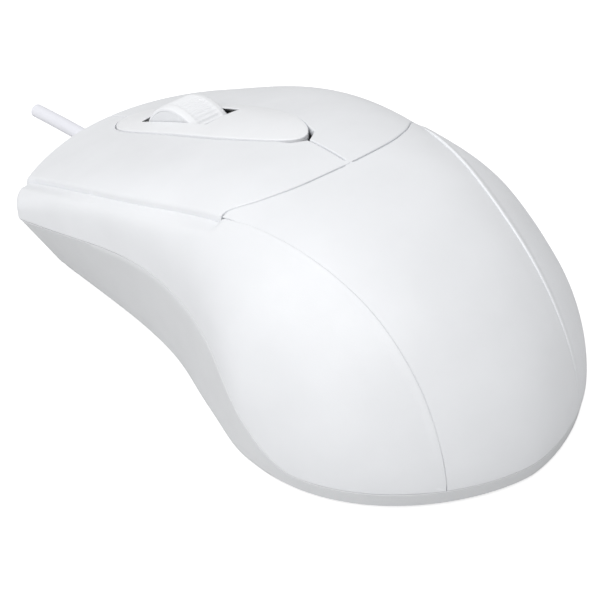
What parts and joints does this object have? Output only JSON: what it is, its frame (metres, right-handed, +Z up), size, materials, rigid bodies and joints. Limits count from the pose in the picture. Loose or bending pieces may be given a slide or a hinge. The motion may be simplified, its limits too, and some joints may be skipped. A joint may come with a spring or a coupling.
{
  "type": "computer mouse",
  "caption": "Corded optical mouse: arched white shell with two hinged finger keys, a ribbed scroll wheel that spins and presses, and a short cable stub.",
  "frame": {"origin": "centre of the whole object's length and width, on the desk plane that the four pads rest on", "axes": "+Z up, +Y forward out of the nose along the cable, +X to the right-hand key"},
  "size_m": [0.0634, 0.1442, 0.039],
  "materials": {
    "white_shell": "fine-textured matte white shell plastic",
    "white_trim": "smooth satin white plastic",
    "tyre_rubber": "pale grey-white ribbed rubber",
    "hub_plastic": "satin pale grey plastic",
    "cream_plastic": "natural acetal",
    "black_plastic": "moulded black component plastic",
    "board_green": "green solder mask",
    "steel": "plain zinc-plated steel",
    "clear_plastic": "clear moulded lens plastic",
    "lamp_red": "tinted clear epoxy",
    "conductor": "insulated stranded conductors",
    "cable_white": "soft matte white cable jacket",
    "grommet_grey": "soft grey grommet rubber",
    "glide_grey": "slick low-friction pad",
    "label_white": "plain white film with nothing printed on it"
  },
  "bodies": {
    "shell": {"palm_cover": "white_shell", "side_shell": "white_shell", "wheel_bezel": "white_trim", "base_case": "white_trim", "cradle_bracket": "cream_plastic", "cradle_pin": "steel", "cradle_spring": "steel", "detent_spring": "steel", "main_board": "board_green", "left_switch": "black_plastic", "right_switch": "black_plastic", "middle_switch": "black_plastic", "optical_sensor": "black_plastic", "sensor_lens": "clear_plastic", "tracking_lamp": "lamp_red", "lamp_clip": "black_plastic", "controller_chip": "black_plastic", "crystal": "steel", "capacitor": "black_plastic", "encoder_emitter": "black_plastic", "encoder_detector": "black_plastic", "cable_socket": "cream_plastic", "cable_plug": "cream_plastic", "cable_wires": "conductor", "cable_core": "conductor", "cable_jacket": "cable_white", "strain_relief": "grommet_grey", "glide_front_left": "glide_grey", "glide_front_right": "glide_grey", "glide_rear_left": "glide_grey", "glide_rear_right": "glide_grey", "blank_label": "label_white", "case_screw_left": "steel", "case_screw_right": "steel", "board_screw_left": "steel", "board_screw_right": "steel"},
    "left_key": {"left_key": "white_shell"},
    "right_key": {"right_key": "white_shell"},
    "cradle": {"wheel_cradle": "cream_plastic"},
    "wheel": {"wheel_hub": "hub_plastic", "wheel_tyre": "tyre_rubber"},
    "left_plunger": {"left_plunger": "cream_plastic"},
    "right_plunger": {"right_plunger": "cream_plastic"},
    "middle_plunger": {"middle_plunger": "cream_plastic"}
  },
  "joints": [
    {"name": "left_key_press", "type": "hinge", "parent": "shell", "child": "left_key", "pos_m": [-0.0095, -0.026, 0.034], "axis": [-1, 0, 0], "range_deg": [0, 0.5]},
    {"name": "left_plunger_travel", "type": "slide", "parent": "shell", "child": "left_plunger", "axis": [0, 0, -1], "range_m": [0, 0.00041]},
    {"name": "right_key_press", "type": "hinge", "parent": "shell", "child": "right_key", "pos_m": [0.0095, -0.026, 0.034], "axis": [-1, 0, 0], "range_deg": [0, 0.5]},
    {"name": "right_plunger_travel", "type": "slide", "parent": "shell", "child": "right_plunger", "axis": [0, 0, -1], "range_m": [0, 0.00041]},
    {"name": "wheel_press", "type": "hinge", "parent": "shell", "child": "cradle", "pos_m": [0, -0.008, 0.0125], "axis": [-1, 0, 0], "range_deg": [0, 1], "deforming": ["cradle_spring"]},
    {"name": "middle_plunger_travel", "type": "slide", "parent": "shell", "child": "middle_plunger", "axis": [0, 0, -1], "range_m": [0, 0.00067]},
    {"name": "wheel_spin", "type": "hinge", "parent": "cradle", "child": "wheel", "pos_m": [0, 0.014, 0.0195], "axis": [1, 0, 0], "continuous": true}
  ],
  "couplings": [
    {"joint": "left_plunger_travel", "follows": "left_key_press", "m_per_rad": 0.0465},
    {"joint": "right_plunger_travel", "follows": "right_key_press", "m_per_rad": 0.0465},
    {"joint": "middle_plunger_travel", "follows": "wheel_press", "m_per_rad": 0.038}
  ]
}
